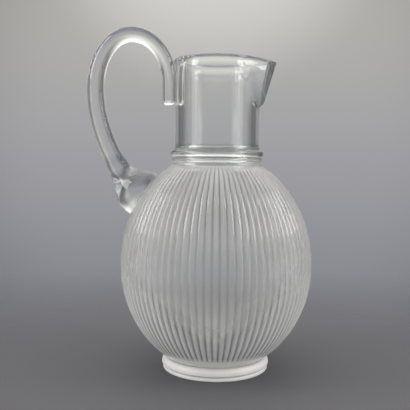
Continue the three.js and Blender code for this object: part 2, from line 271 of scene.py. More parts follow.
def draw_out(stations, sides, open_end=None):
    """Draws a disc out through stations, each a centre, a lean from +Z to +X and a radius.

    The open end, 0 or -1, is left without its face: there the glass runs on into the next piece."""
    centre, lean, radius = stations[0]
    clear_selection()
    bpy.ops.mesh.primitive_circle_add(
        vertices=sides, radius=radius, fill_type="NGON", location=centre, rotation=(0.0, lean, 0.0)
    )
    bpy.ops.object.mode_set(mode="EDIT")
    bpy.ops.mesh.select_all(action="SELECT")
    for next_centre, next_lean, next_radius in stations[1:]:
        step = {"value": next_centre - centre, "orient_type": "GLOBAL"}
        bpy.ops.mesh.extrude_region_move(TRANSFORM_OT_translate=step)
        if next_lean != lean:
            bpy.ops.transform.rotate(
                value=lean - next_lean, orient_axis="Y", orient_type="GLOBAL", center_override=next_centre
            )
        bpy.ops.transform.resize(value=(next_radius / radius,) * 3, center_override=next_centre)
        centre, lean, radius = next_centre, next_lean, next_radius
    close_up()
    if open_end is not None:
        remove_face(stations[open_end][0])


def remove_face(place):
    """Removes the face nearest to a place from the piece being modelled."""
    mesh = bpy.context.object.data
    nearest = min(mesh.polygons, key=lambda face: (face.center - place).length).index
    bpy.ops.object.mode_set(mode="EDIT")
    bpy.ops.mesh.select_mode(type="FACE")
    bpy.ops.mesh.select_all(action="DESELECT")
    bpy.ops.object.mode_set(mode="OBJECT")
    mesh.polygons[nearest].select = True
    bpy.ops.object.mode_set(mode="EDIT")
    bpy.ops.mesh.delete(type="ONLY_FACE")
    bpy.ops.mesh.select_mode(type="VERT")
    bpy.ops.object.mode_set(mode="OBJECT")


def turn(outline, columns, copies=4):
    """Extrudes a vertex along an outline of (radius, height) points and spins it round the Z axis.

    A sector is spun first and then copied round, which is quicker than one long spin."""
    points = [Vector((radius, 0.0, height)) for radius, height in outline]
    clear_selection()
    bpy.ops.mesh.primitive_plane_add(size=MILLIMETRE, location=points[0])
    bpy.ops.object.mode_set(mode="EDIT")
    bpy.ops.mesh.select_all(action="SELECT")
    bpy.ops.mesh.merge(type="CENTER")
    for here, there in zip(points, points[1:]):
        step = {"value": there - here, "orient_type": "GLOBAL"}
        bpy.ops.mesh.extrude_region_move(TRANSFORM_OT_translate=step)
    bpy.ops.mesh.select_all(action="SELECT")
    sector = 2.0 * math.pi / copies
    axis = {"center": (0.0, 0.0, 0.0), "axis": (0.0, 0.0, 1.0)}
    bpy.ops.mesh.spin(steps=columns // copies, angle=sector, **axis)
    bpy.ops.mesh.select_all(action="SELECT")
    bpy.ops.mesh.spin(steps=copies - 1, angle=sector * (copies - 1), dupli=True, **axis)
    close_up()


def close_up():
    """Merges what coincides, points the faces outwards and puts the place into the mesh."""
    bpy.ops.mesh.select_all(action="SELECT")
    bpy.ops.mesh.remove_doubles(threshold=0.001 * MILLIMETRE)
    bpy.ops.mesh.normals_make_consistent(inside=False)
    bpy.ops.object.mode_set(mode="OBJECT")
    bpy.ops.object.transform_apply(location=True, rotation=True, scale=True)


def finish_piece(name, material, slot, *nodes, sharp=40.0):
    """Names the active piece, smooths it, gives it its glass and ties it to the frame."""
    piece = bpy.context.object
    bpy.ops.object.shade_smooth_by_angle(angle=math.radians(sharp))
    piece.name = name
    piece.data.name = name
    piece.data.materials.clear()
    piece.data.materials.append(material)
    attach(piece, "root")
    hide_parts(*nodes)


# Helpers that build a tree of nodes.

def feed(tree, socket, value):
    """Gives a socket a plain number or the output of another node."""
    if isinstance(value, float):
        socket.default_value = value
    else:
        tree.links.new(value, socket)


def compute(tree, operation, first, second=0.0):
    """One step of arithmetic."""
    step = tree.nodes.new("ShaderNodeMath")
    step.operation = operation
    feed(tree, step.inputs[0], first)
    feed(tree, step.inputs[1], second)
    return step.outputs["Value"]


def blend(tree, value, span, low, high, kind="LINEAR"):
    """Goes from low, where the value is at the start of a span, to high at its end."""
    start, end = span
    step = tree.nodes.new("ShaderNodeMapRange")
    step.interpolation_type = kind
    feed(tree, step.inputs["Value"], value)
    feed(tree, step.inputs["From Min"], start)
    feed(tree, step.inputs["From Max"], end)
    feed(tree, step.inputs["To Min"], low)
    feed(tree, step.inputs["To Max"], high)
    return step.outputs["Result"]


def coordinates(tree, kind="Object"):
    """Where a point is on its piece, or as Generated the way into the room."""
    return tree.nodes.new("ShaderNodeTexCoord").outputs[kind]


def axes(tree, vector):
    """The X, Y and Z of a vector."""
    split = tree.nodes.new("ShaderNodeSeparateXYZ")
    tree.links.new(vector, split.inputs["Vector"])
    return split.outputs


def distance(tree, vector):
    """How long a vector is."""
    step = tree.nodes.new("ShaderNodeVectorMath")
    step.operation = "LENGTH"
    tree.links.new(vector, step.inputs[0])
    return step.outputs["Value"]


def cosine_to(tree, direction):
    """Cosine of the angle between a way into the room and a direction."""
    step = tree.nodes.new("ShaderNodeVectorMath")
    step.operation = "DOT_PRODUCT"
    step.inputs[1].default_value = Vector(direction).normalized()
    tree.links.new(coordinates(tree, "Generated"), step.inputs[0])
    return step.outputs["Value"]


def colour_ramp(tree, value, first, last):
    """A ramp between two linear colours."""
    ramp = tree.nodes.new("ShaderNodeValToRGB")
    ramp.color_ramp.elements[0].color = (*first, 1.0)
    ramp.color_ramp.elements[1].color = (*last, 1.0)
    tree.links.new(value, ramp.inputs["Fac"])
    return ramp


# Glass.

def glass_material(name, tint, roughness, clearness):
    """A new glass: its tree of nodes, and its shader, which the finishes below build on."""
    material = bpy.data.materials.new(name)
    material.use_nodes = True
    shader = material.node_tree.nodes["Principled BSDF"]
    shader.inputs["Base Color"].default_value = (*tint, 1.0)
    shader.inputs["Roughness"].default_value = roughness
    shader.inputs["IOR"].default_value = settings().glass.index
    shader.inputs["Transmission Weight"].default_value = clearness
    return material.node_tree, shader


def add_waves(tree, shader, scale, strength, stretch=(1.0, 1.0, 1.0)):
    """Faint waves in a hand-made surface."""
    mapping = tree.nodes.new("ShaderNodeMapping")
    mapping.inputs["Scale"].default_value = stretch
    noise = tree.nodes.new("ShaderNodeTexNoise")
    noise.inputs["Scale"].default_value = scale
    noise.inputs["Detail"].default_value = 1.0
    bump = tree.nodes.new("ShaderNodeBump")
    bump.inputs["Strength"].default_value = strength
    bump.inputs["Distance"].default_value = MILLIMETRE
    tree.links.new(coordinates(tree), mapping.inputs["Vector"])
    tree.links.new(mapping.outputs["Vector"], noise.inputs["Vector"])
    tree.links.new(noise.outputs["Fac"], bump.inputs["Height"])
    tree.links.new(bump.outputs["Normal"], shader.inputs["Normal"])


def clear_glass():
    """Fire-polished glass of the neck, the upper ring and the handle."""
    name = "clear_glass_fire_polished"
    if name not in bpy.data.materials:
        glass = settings().glass
        tree, shader = glass_material(name, glass.clear_tint, glass.clear_roughness, 1.0)
        add_waves(tree, shader, scale=60.0, strength=0.08, stretch=(1.0, 1.0, 0.12))
    return bpy.data.materials[name]


def frost_inside(tree, shader):
    """Makes the globe rougher on its inside, told from the outside by an ellipsoid between them."""
    glass, globe = settings().glass, settings().globe
    wide = globe.belly_radius - globe.belly_wall / 2
    tall = wide * upper_semi(globe) / globe.belly_radius
    turnover = (0.99, 1.0)
    mapping = tree.nodes.new("ShaderNodeMapping")
    mapping.vector_type = "TEXTURE"
    mapping.inputs["Location"].default_value = (0.0, 0.0, globe.belly_height)
    mapping.inputs["Scale"].default_value = (wide, wide, tall)
    tree.links.new(coordinates(tree), mapping.inputs["Vector"])
    reach = distance(tree, mapping.outputs["Vector"])
    roughness = blend(tree, reach, turnover, glass.satin_inside, glass.satin_outside)
    tree.links.new(roughness, shader.inputs["Roughness"])


def whiten_outline(tree, shader):
    """Lets the satin scatter more light where it is seen at a low angle, most of all low down."""
    glass, globe = settings().glass, settings().globe
    height = axes(tree, coordinates(tree))["Z"]
    lower_half = (globe.base, globe.belly_height)
    edge = blend(tree, height, lower_half, glass.satin_base, glass.satin_edge)
    facing = tree.nodes.new("ShaderNodeLayerWeight").outputs["Facing"]
    clearness = blend(tree, facing, (0.0, glass.outline_facing), glass.satin_clearness, edge)
    tree.links.new(clearness, shader.inputs["Transmission Weight"])


def groove_mask(tree, at, globe):
    """How far a point lies down in a groove between two ribs, from 0 on a crest to 1."""
    turned = compute(tree, "ARCTAN2", at["Y"], at["X"])
    wave = compute(tree, "COSINE", compute(tree, "MULTIPLY", turned, globe.ribs / 2.0))
    groove = compute(tree, "SUBTRACT", 1.0, compute(tree, "ABSOLUTE", wave))
    # The power narrows each groove to the line that the painted shade fills.
    return compute(tree, "POWER", groove, settings().glass.groove_shade_narrowness)


def ribbed_mask(tree, height, globe):
    """1 where the globe is ribbed and 0 on its smooth bands."""
    low = globe.base + globe.bare_below
    high = globe.top - globe.bare_above
    above = compute(tree, "DIVIDE", compute(tree, "SUBTRACT", height, low), globe.fade)
    below = compute(tree, "DIVIDE", compute(tree, "SUBTRACT", high, height), globe.fade)
    nearer = compute(tree, "MINIMUM", above, below)
    return compute(tree, "MINIMUM", compute(tree, "MAXIMUM", nearer, 0.0), 1.0)


def shade_grooves(tree, shader):
    """Paints shade into the glass between the ribs, as a darker base colour: least at the belly and more
    above and below it.
    """
    glass, globe = settings().glass, settings().globe
    at = axes(tree, coordinates(tree))
    off_belly = compute(tree, "ABSOLUTE", compute(tree, "SUBTRACT", at["Z"], globe.belly_height))
    growth = compute(tree, "DIVIDE", off_belly, globe.belly_height)
    depth = compute(tree, "MINIMUM", compute(tree, "ADD", growth, glass.belly_painted_shade), 1.0)
    groove = compute(tree, "MULTIPLY", groove_mask(tree, at, globe), ribbed_mask(tree, at["Z"], globe))
    shade = compute(tree, "MULTIPLY", groove, depth)
    # The ramp goes from the glass's own tint on the crests to the painted shade in the grooves.
    tint = colour_ramp(tree, shade, glass.satin_tint, glass.groove_painted_shade)
    tree.links.new(tint.outputs["Color"], shader.inputs["Base Color"])


def satin_glass():
    """Glass of the globe and the lower ring: nearly smooth outside, frosted inside, with shade painted
    between the globe's ribs.
    """
    name = "satin_glass_ribbed"
    if name not in bpy.data.materials:
        glass = settings().glass
        tree, shader = glass_material(name, glass.satin_tint, glass.satin_outside, glass.satin_clearness)
        frost_inside(tree, shader)
        whiten_outline(tree, shader)
        shade_grooves(tree, shader)
    return bpy.data.materials[name]


def foot_glass():
    """Frosted glass of the foot."""
    name = "satin_glass_foot"
    glass = settings().glass
    tree, shader = glass_material(name, glass.satin_tint, glass.foot_roughness, glass.foot_clearness)
    add_waves(tree, shader, scale=80.0, strength=0.05)
    return bpy.data.materials[name]


# Foot.

def foot_outline(s):
    """Outline of the foot: flat underneath, with a lip, a narrow groove and a rounded band."""
    edge = s.edge_round
    groove = s.groove_width / 2
    lip_radius = s.radius - edge
    band_bottom = s.lip_height + s.groove_width
    table_edge = (lip_radius - edge, edge, edge, edge)
    lip_edge = (lip_radius - groove, s.lip_height - groove, groove, groove)
    under_band = (s.radius - s.band_inset, s.widest_height, s.band_inset, s.widest_height - band_bottom)
    over_band = (s.top_radius, s.widest_height, s.radius - s.top_radius, s.height - s.widest_height)
    outline = [(0.0, 0.0)]
    outline += arc(*table_edge, -90, 0, steps=6)
    outline += arc(*lip_edge, 0, 90, steps=4)
    outline.append((lip_radius - s.groove_depth, s.lip_height + groove))
    outline += arc(*under_band, -90, 0, steps=8)
    outline += arc(*over_band, 0, 90, steps=12)[1:]
    outline.append((0.0, s.height))
    return outline


class PITCHER_OT_foot(Operator):
    """Models the disc foot"""

    bl_idname = "pitcher.foot"
    bl_label = "Foot"

    def execute(self, context):
        turn(foot_outline(settings().foot), PLAIN_COLUMNS)
        finish_piece("disc_foot", foot_glass(), "satin_glass", "foot")
        return {"FINISHED"}


# Globe.

def globe_radius(s, height):
    """Radius of the crests at a height."""
    rise = (height - s.belly_height) / semi_at(s, height)
    return s.belly_radius * math.sqrt(max(0.0, 1.0 - rise**2))


def semi_at(s, height):
    """Half height of the ellipsoid that the globe follows at a height."""
    return lower_semi(s) if height < s.belly_height else upper_semi(s)


def lower_semi(s):
    """Half height of the ellipsoid below the belly."""
    return (s.belly_height - s.base) / math.sqrt(1.0 - (s.seat_radius / s.belly_radius) ** 2)


def upper_semi(s):
    """Half height of the ellipsoid above the belly."""
    return (s.top - s.belly_height) / math.sqrt(1.0 - (s.shoulder_radius / s.belly_radius) ** 2)


def add_ellipsoid(radius, below, above, height, segments, rings):
    """A sphere whose lower and upper halves are drawn out to two heights."""
    equator = 0.01 * MILLIMETRE
    clear_selection()
    bpy.ops.mesh.primitive_uv_sphere_add(segments=segments, ring_count=rings, radius=radius)
    for sign, semi in ((-1.0, below), (1.0, above)):
        mesh = bpy.context.object.data
        bpy.ops.object.mode_set(mode="EDIT")
        bpy.ops.mesh.select_all(action="DESELECT")
        bpy.ops.object.mode_set(mode="OBJECT")
        for vertex in mesh.vertices:
            vertex.select = sign * vertex.co.z > equator
        bpy.ops.object.mode_set(mode="EDIT")
        bpy.ops.transform.resize(value=(1.0, 1.0, semi / radius), center_override=(0.0, 0.0, 0.0))
    bpy.ops.mesh.select_all(action="SELECT")
    bpy.ops.transform.translate(value=(0.0, 0.0, height))
    bpy.ops.object.mode_set(mode="OBJECT")
    bpy.ops.object.transform_apply(location=True, rotation=True, scale=True)


def rib_fade(s, height):
    """How much of the ribs is left at a height: all of it between the two fades."""
    from_below = ease((height - s.base - s.bare_below) / s.fade)
    from_above = ease((s.top - s.bare_above - height) / s.fade)
    return from_below * from_above


def outer_heights(s):
    """Heights of the globe's rows, close together where the ribs fade.

    A band is the height at which it starts and its number of rows."""
    ribs_start = s.base + s.bare_below
    ribs_end = s.top - s.bare_above
    bands = [(s.base, 4), (ribs_start, 10), (ribs_start + s.fade, 62)]
    bands += [(ribs_end - s.fade, 10), (ribs_end, 2), (s.top, 0)]
    heights = []
    for (low, rows), (high, _) in zip(bands, bands[1:]):
        start, end = (math.asin((z - s.belly_height) / semi_at(s, z)) for z in (low, high))
        for i in range(rows):
            turned = start + (end - start) * i / rows
            semi = lower_semi(s) if turned < 0.0 else upper_semi(s)
            heights.append(s.belly_height + semi * math.sin(turned))
    return heights + [s.top]


def cavity_outline(s, bore_radius):
    """Outline of the room inside, from its mouth down to its floor on the axis."""
    radius = s.belly_radius - s.belly_wall
    above = (s.top - s.belly_height) / math.sqrt(1.0 - (bore_radius / radius) ** 2)
    below = s.belly_height - s.base - s.floor
    mouth = math.degrees(math.acos(bore_radius / radius))
    upper = arc(0.0, s.belly_height, radius, above, mouth, 0, steps=20)
    lower = arc(0.0, s.belly_height, radius, below, 0, -90, steps=24)
    return upper + lower[1:]


def press_ribs(s, globe):
    """Presses the grooves between the ribs into the globe, fading out at both ends."""
    grooves = globe.vertex_groups.new(name="grooves")
    inside = s.belly_wall / 2
    for vertex in globe.data.vertices:
        x, y, height = vertex.co
        crest = globe_radius(s, height)
        if math.hypot(x, y) > crest - inside:
            groove = 1.0 - abs(math.cos(math.atan2(y, x) * s.ribs / 2.0))
            weight = rib_fade(s, height) * groove * crest / s.belly_radius
            grooves.add([vertex.index], weight, "REPLACE")
    bpy.ops.object.modifier_add(type="DISPLACE")
    displace = globe.modifiers[-1]
    displace.vertex_group = grooves.name
    displace.mid_level = 0.0
    displace.strength = -s.rib_depth
    bpy.ops.object.modifier_apply(modifier=displace.name)


class PITCHER_OT_globe(Operator):
    """Models the ribbed globe"""

    bl_idname = "pitcher.globe"
    bl_label = "Globe"

    def execute(self, context):
        s = settings().globe
        outline = [(0.0, s.base)] + [(globe_radius(s, z), z) for z in outer_heights(s)]
        outline += cavity_outline(s, settings().neck.bore_radius)
        turn(outline, s.ribs * COLUMNS_PER_RIB, copies=s.ribs)
        press_ribs(s, context.object)
        finish_piece("ribbed_globe", satin_glass(), "satin_glass", "bowl", sharp=60.0)
        return {"FINISHED"}


# Neck.

def neck_outline(s):
    """Outline of a plain tube with a rounded rim, its rows close together at the beak's foot."""
    plain_rows, beak_rows, crowding = 6, 30, 1.2
    edge = s.lip_round
    beak_base = s.rim - s.beak_height
    beak_rise = s.rim - edge - beak_base
    heights = [s.base + (beak_base - s.base) * i / plain_rows for i in range(plain_rows)]
    heights += [beak_base + beak_rise * (i / beak_rows) ** crowding for i in range(beak_rows + 1)]
    outline = [(s.radius, height) for height in heights]
    outline += arc(s.radius - edge, s.rim - edge, edge, edge, 0, 90, steps=6)[1:]
    outline += arc(s.bore_radius + edge, s.rim - edge, edge, edge, 90, 180, steps=6)[:-1]
    outline += [(s.bore_radius, height) for height in reversed(heights)]
    return outline + [outline[0]]


def beaked_radius(turned, radius, reach, tip_round):
    """Distance to an outline of a circle, a small circle further out on +X and their tangents."""
    angle = abs(math.atan2(math.sin(turned), math.cos(turned)))
    centre = radius + reach - tip_round
    lean = math.acos(min(1.0, (radius - tip_round) / centre))
    tip_turn = math.atan2(tip_round * math.sin(lean), centre + tip_round * math.cos(lean))
    if angle >= lean:
        return radius
    if angle > tip_turn:
        return radius / math.cos(lean - angle)
    return centre * math.cos(angle) + math.sqrt(tip_round**2 - (centre * math.sin(angle)) ** 2)


def pull_beak(s, neck):
    """Flares a plain tube's lip and pulls the beak out of it, its columns crowded towards the beak."""
    crowding = 0.5
    beak_base = s.rim - s.beak_height
    bore_share = (s.radius + s.beak_reach - s.beak_wall - s.bore_radius) / s.beak_reach
    for vertex in neck.data.vertices:
        x, y, height = vertex.co
        up = height - beak_base
        rise = min(1.0, max(0.0, up / s.beak_height))
        reach = s.beak_heel * ease(up / s.beak_heel_height) + (s.beak_reach - s.beak_heel) * rise
        flare = s.lip_flare * ease(1.0 - (s.rim - height) / s.lip_flare_height)
        even = math.atan2(y, x)
        turned = even - crowding * math.sin(even)
        depth = (s.radius - math.hypot(x, y)) / (s.radius - s.bore_radius)
        outer = beaked_radius(turned, s.radius + flare, max(0.0, reach - flare), s.beak_tip_round)
        inner = beaked_radius(turned, s.bore_radius, reach * bore_share, s.beak_bore_round)
        radius = outer + (inner - outer) * depth
        sag = s.beak_droop * rise * (outer - s.radius - flare) / s.beak_reach
        vertex.co = (radius * math.cos(turned), radius * math.sin(turned), height - sag)


class PITCHER_OT_neck(Operator):
    """Models the neck and its beak"""

    bl_idname = "pitcher.neck"
    bl_label = "Neck"

    def execute(self, context):
        s = settings().neck
        turn(neck_outline(s), NECK_COLUMNS)
        pull_beak(s, context.object)
        finish_piece("clear_neck", clear_glass(), "clear_glass", "neck")
        return {"FINISHED"}


# Collar rings.

def thin_bead(s, neck):
    """The thin bead's ellipse, as arc takes it: radius and height of its centre, width, half height."""
    middle = (s.bead_base + s.bead_top) / 2
    half = (s.bead_top - s.bead_base) / 2
    return neck.radius + s.groove_proud, middle, s.bead_proud - s.groove_proud, half


def thin_bead_angle(s, neck, height):
    """Angle in degrees at which the thin bead's arc passes a height."""
    _, middle, _, half = thin_bead(s, neck)
    return math.degrees(math.asin((height - middle) / half))


def lower_ring_outline(s, neck):
    """Outline of the lower ring: a low shoulder and the lower part of the thin bead."""
    inner = neck.radius - FUSED
    shoulder_width = s.lower_proud - s.groove_proud
    shoulder = (neck.radius + s.groove_proud, neck.base, shoulder_width, s.bead_base - neck.base)
    outline = [(inner, neck.base)]
    outline += arc(*shoulder, 0, 90, steps=10)
    outline += arc(*thin_bead(s, neck), -90, thin_bead_angle(s, neck, s.joint), steps=8)[1:]
    return outline + [(inner, s.joint), (inner, neck.base)]


def upper_ring_outline(s, neck):
    """Outline of the upper ring: the rest of the thin bead, a groove, the main bead and its flare."""
    inner = neck.radius - FUSED
    base = s.joint - FUSED
    half = (base + s.upper_height - s.bead_top) / 2
    middle = s.bead_top + half
    turned = math.acos(s.flare_width / s.upper_proud)
    flare_foot = middle + half * math.sin(turned)
    under = (neck.radius + s.groove_proud, middle, s.upper_proud - s.groove_proud, half)
    over = (neck.radius, middle, s.upper_proud, half)
    flare = (neck.radius + s.flare_width, s.flare_top, s.flare_width, s.flare_top - flare_foot)
    outline = [(inner, base)]
    outline += arc(*thin_bead(s, neck), thin_bead_angle(s, neck, base), 90, steps=8)
    outline += arc(*under, -90, 0, steps=8)[1:]
    outline += arc(*over, 0, math.degrees(turned), steps=8)[1:]
    outline += arc(*flare, -90, -180, steps=10)[1:]
    return outline + [(inner, s.flare_top), (inner, base)]


class PITCHER_OT_collar(Operator):
    """Models the two collar rings"""

    bl_idname = "pitcher.collar"
    bl_label = "Collar rings"

    def execute(self, context):
        s, neck = settings().collar, settings().neck
        turn(lower_ring_outline(s, neck), PLAIN_COLUMNS)
        finish_piece("lower_collar", satin_glass(), "satin_glass", "lower_collar_ring")
        turn(upper_ring_outline(s, neck), PLAIN_COLUMNS)
        finish_piece("upper_collar", clear_glass(), "clear_glass", "upper_collar_ring")
        return {"FINISHED"}


# Handle.

def pad_axes(s, globe):
    """Where the pad sits: its centre on the globe, the way out and the way up along it."""
    height = globe.belly_height + s.pad_rise
    radius = globe_radius(globe, height)
    slope = s.pad_rise / upper_semi(globe) ** 2
    out = Vector((-radius / globe.belly_radius**2, 0.0, slope)).normalized()
    up = Vector((out.z, 0.0, -out.x))
    return Vector((-radius, 0.0, height)), out, up


def bezier(knots, t):
    """Point and direction on a Bezier curve of any order."""
    points = list(knots)
    while len(points) > 2:
        points = [a.lerp(b, t) for a, b in zip(points, points[1:])]
    return points[0].lerp(points[1], t), (points[1] - points[0]).normalized()


def lean_of(direction):
    """Angle from +Z towards +X."""
    return math.atan2(direction.x, direction.z)


def unwound(leans):
    """Leans without jumps of a whole turn."""
    result = [leans[0]]
    for lean in leans[1:]:
        change = (lean - result[-1] + math.pi) % (2 * math.pi) - math.pi
        result.append(result[-1] + change)
    return result


def quarter_turn(start, corner, end):
    """A quarter of an ellipse as a Bezier curve."""
    fullness = 0.5523
    return (start, start.lerp(corner, fullness), end.lerp(corner, fullness), end)


def pad_end(s, globe):
    """Centre and direction of the pad's outer end, where the rod leaves it."""
    centre, out, up = pad_axes(s, globe)
    bend = centre + out * s.pad_bend_depth
    end = centre + up * s.pad_lean + out * s.pad_depth
    return end, (end - bend).normalized()


def pad_stations(s, globe):
    """Stations of the pad, from inside the globe to the end that the rod leaves."""
    steps = 44
    sink = 4 * MILLIMETRE
    centre, out, _ = pad_axes(s, globe)
    end, _ = pad_end(s, globe)
    knots = (centre, centre + out * s.pad_bend_depth, end)
    stations = [(centre - out * sink, lean_of(out), s.pad_radius)]
    for i in range(steps + 1):
        point, direction = bezier(knots, i / steps)
        depth = (i / steps) * s.pad_depth
        shrink = ease((depth - s.pad_shoulder) / (s.pad_depth - s.pad_shoulder))
        radius = s.pad_radius + (s.root_radius - s.pad_radius) * shrink
        stations.append((point, lean_of(direction), radius))
    return stations


def trim_to_globe(pad, globe):
    """Cuts the pad off just under the globe's surface."""
    seat = 0.6 * MILLIMETRE
    add_ellipsoid(
        globe.belly_radius - seat, lower_semi(globe) - seat, upper_semi(globe) - seat,
        globe.belly_height, segments=180, rings=90,
    )
    cutter = bpy.context.object
    select_alone(pad)
    bpy.ops.object.modifier_add(type="BOOLEAN")
    trim = pad.modifiers[-1]
    trim.operation = "DIFFERENCE"
    trim.object = cutter
    bpy.ops.object.modifier_apply(modifier=trim.name)
    select_alone(cutter)
    bpy.ops.object.delete()
    select_alone(pad)


class PITCHER_OT_handle_pad(Operator):
    """Models the gather of glass that joins the handle to the globe"""

    bl_idname = "pitcher.handle_pad"
    bl_label = "Handle pad"

    def execute(self, context):
        s = settings()
        draw_out(pad_stations(s.handle, s.globe), HANDLE_SIDES, open_end=-1)
        trim_to_globe(context.object, s.globe)
        finish_piece("handle_base", clear_glass(), "clear_glass", "handle_pad")
        return {"FINISHED"}


def rod_curves(s, globe, neck):
    """Curves of the rod's centre line from the pad to its end, each with its number of steps."""
    root, lead = pad_end(s, globe)
    neck_line = -(neck.radius + s.upper_radius - s.press)
    widest = Vector((root.x - s.bulge, 0.0, root.z + s.widest_rise))
    bend = root + lead * (-s.bulge / lead.x)
    top = Vector((-(neck.radius + s.top_reach), 0.0, neck.rim + s.top_rise))
    join = Vector((neck_line, 0.0, neck.rim - s.join_drop))
    end = Vector((neck_line, 0.0, neck.rim - s.end_drop))
    return (
        ((root, bend, widest), 36),
        (quarter_turn(widest, Vector((widest.x, 0.0, top.z)), top), 44),
        (quarter_turn(top, Vector((neck_line, 0.0, top.z)), join), 44),
        ((join, end), 20),
    )


def rod_radius(s, travelled, total):
    """Radius of the rod after some of its length: thick at its root, then a slow taper."""
    taper = s.lower_radius + (s.upper_radius - s.lower_radius) * travelled / total
    root = (s.root_radius - s.lower_radius) * (1.0 - ease(travelled / s.root_length))
    return taper + root


def rounded_end(s, station):
    """Stations that round off the rod's end in place of its last one."""
    end, lean, radius = station
    ahead = Vector((math.sin(lean), 0.0, math.cos(lean)))
    edge = arc(0.0, 0.0, s.end_round, s.end_round, 0, 90, steps=6)
    return [(end - ahead * (s.end_round - rise), lean, radius - s.end_round + wide) for wide, rise in edge]


def rod_stations(s, globe, neck):
    """Stations along the rod, from the pad over the top to its end against the neck."""
    curves = rod_curves(s, globe, neck)
    points, leans = [], []
    for knots, steps in curves:
        for i in range(steps):
            point, direction = bezier(knots, i / steps)
            points.append(point)
            leans.append(lean_of(direction))
    last_knots, _ = curves[-1]
    points.append(last_knots[-1])
    leans.append(leans[-1])
    travelled = [0.0]
    for a, b in zip(points, points[1:]):
        travelled.append(travelled[-1] + (b - a).length)
    radii = [rod_radius(s, part, travelled[-1]) for part in travelled]
    stations = list(zip(points, unwound(leans), radii))
    return stations[:-1] + rounded_end(s, stations[-1])


class PITCHER_OT_handle_rod(Operator):
    """Models the looped rod of the handle"""

    bl_idname = "pitcher.handle_rod"
    bl_label = "Handle rod"

    def execute(self, context):
        s = settings()
        draw_out(rod_stations(s.handle, s.globe, s.neck), HANDLE_SIDES, open_end=0)
        finish_piece("looped_handle", clear_glass(), "clear_glass", "handle_rod")
        return {"FINISHED"}


# Stage. The camera looks along +Y.

# Height on the backdrop, up and down, between its low and its top tone, on a sphere of radius 1.
BACKDROP_REACH = 0.26

# Degrees off +Y between which the backdrop gives way to the sides, and these to the room.
BACKDROP_EDGE = (13.0, 32.0)
ROOM_EDGE = (50.0, 90.0)

# Soft lights of the room: their directions, and the degrees off them between which they fade.
OVERHEAD_WAY, OVERHEAD_EDGE = (0.0, 0.3, 0.95), (8.0, 60.0)
POOL_WAY, POOL_EDGE = (-0.01, 0.94, 0.34), (0.0, 15.0)

# The ring of light round the room: where it starts and ends in height, and in degrees off +Y.
RING_START, RING_END = (0.15, 0.35), (0.45, 0.7)
RING_EDGE = (40.0, 100.0)

# The lamp on the right of each pair: its place, and its width and height.
KEY_PLACE, KEY_SIZE = (0.74, -0.2, 0.62), (0.35, 0.6)
FILL_PLACE, FILL_SIZE = (0.85, -0.42, 0.08), (0.25, 0.5)
LAMP_AIM = (0.0, 0.0, 0.12)


def add_lamp_pair(name, lamp_place, size, power, tint):
    """Two square lamps that face the pitcher, one on its left and one on its right."""
    x, y, z = lamp_place
    for side, sign in (("left", -1.0), ("right", 1.0)):
        spot = Vector((sign * x, y, z))
        turned = (Vector(LAMP_AIM) - spot).to_track_quat("-Z", "Y").to_euler()
        clear_selection()
        bpy.ops.object.light_add(type="AREA", location=spot, rotation=turned)
        lamp = bpy.context.object
        lamp.name = side + "_" + name
        lamp.data.shape = "RECTANGLE"
        lamp.data.size = size[0]
        lamp.data.size_y = size[1]
        lamp.data.energy = power
        lamp.data.color = tint


def by_angle(tree, cosine, edge, inside, outside):
    """Goes smoothly from inside to outside between two angles in degrees off a direction."""
    near, far = edge
    span = (math.cos(math.radians(far)), math.cos(math.radians(near)))
    return blend(tree, cosine, span, outside, inside, kind="SMOOTHSTEP")


def backdrop_colour(tree, height, s):
    """Tone of the backdrop from low down to high up."""
    part = blend(tree, height, (-BACKDROP_REACH, BACKDROP_REACH), 0.0, 1.0)
    ramp = colour_ramp(tree, part, s.low_tone, s.top_tone)
    middle = ramp.color_ramp.elements.new(0.5)
    middle.color = (*s.middle_tone, 1.0)
    return ramp.outputs["Color"]


def backdrop_strength(tree, ahead, s):
    """Darker beside the backdrop and paler round the camera."""
    sides = by_angle(tree, ahead, BACKDROP_EDGE, 1.0, s.side_share)
    room = by_angle(tree, ahead, ROOM_EDGE, 1.0, s.room_share)
    return compute(tree, "MULTIPLY", sides, room)


def glow_strength(tree, way, s):
    """The light overhead, the pool high on the backdrop and the ring round the room."""
    overhead = by_angle(tree, cosine_to(tree, OVERHEAD_WAY), OVERHEAD_EDGE, s.overhead, 0.0)
    pool = by_angle(tree, cosine_to(tree, POOL_WAY), POOL_EDGE, s.pool, 0.0)
    rising = blend(tree, way["Z"], RING_START, 0.0, s.ring, kind="SMOOTHSTEP")
    falling = blend(tree, way["Z"], RING_END, 1.0, 0.0, kind="SMOOTHSTEP")
    band = compute(tree, "MULTIPLY", rising, falling)
    ring = compute(tree, "MULTIPLY", band, by_angle(tree, way["Y"], RING_EDGE, 0.0, 1.0))
    return compute(tree, "ADD", compute(tree, "ADD", overhead, pool), ring)


def paint_world(s):
    """A backdrop that is paler at its top, darker sides, a pale room and soft lights high up."""
    world = bpy.data.worlds.new("soft_studio")
    bpy.context.scene.world = world
    world.use_nodes = True
    tree = world.node_tree
    way = axes(tree, coordinates(tree, "Generated"))
    backdrop = tree.nodes["Background"]
    tree.links.new(backdrop_colour(tree, way["Z"], s), backdrop.inputs["Color"])
    tree.links.new(backdrop_strength(tree, way["Y"], s), backdrop.inputs["Strength"])
    glow = tree.nodes.new("ShaderNodeBackground")
    glow.inputs["Color"].default_value = (*s.glow_colour, 1.0)
    tree.links.new(glow_strength(tree, way, s), glow.inputs["Strength"])
    both = tree.nodes.new("ShaderNodeAddShader")
    tree.links.new(backdrop.outputs["Background"], both.inputs[0])
    tree.links.new(glow.outputs["Background"], both.inputs[1])
    tree.links.new(both.outputs["Shader"], tree.nodes["World Output"].inputs["Surface"])


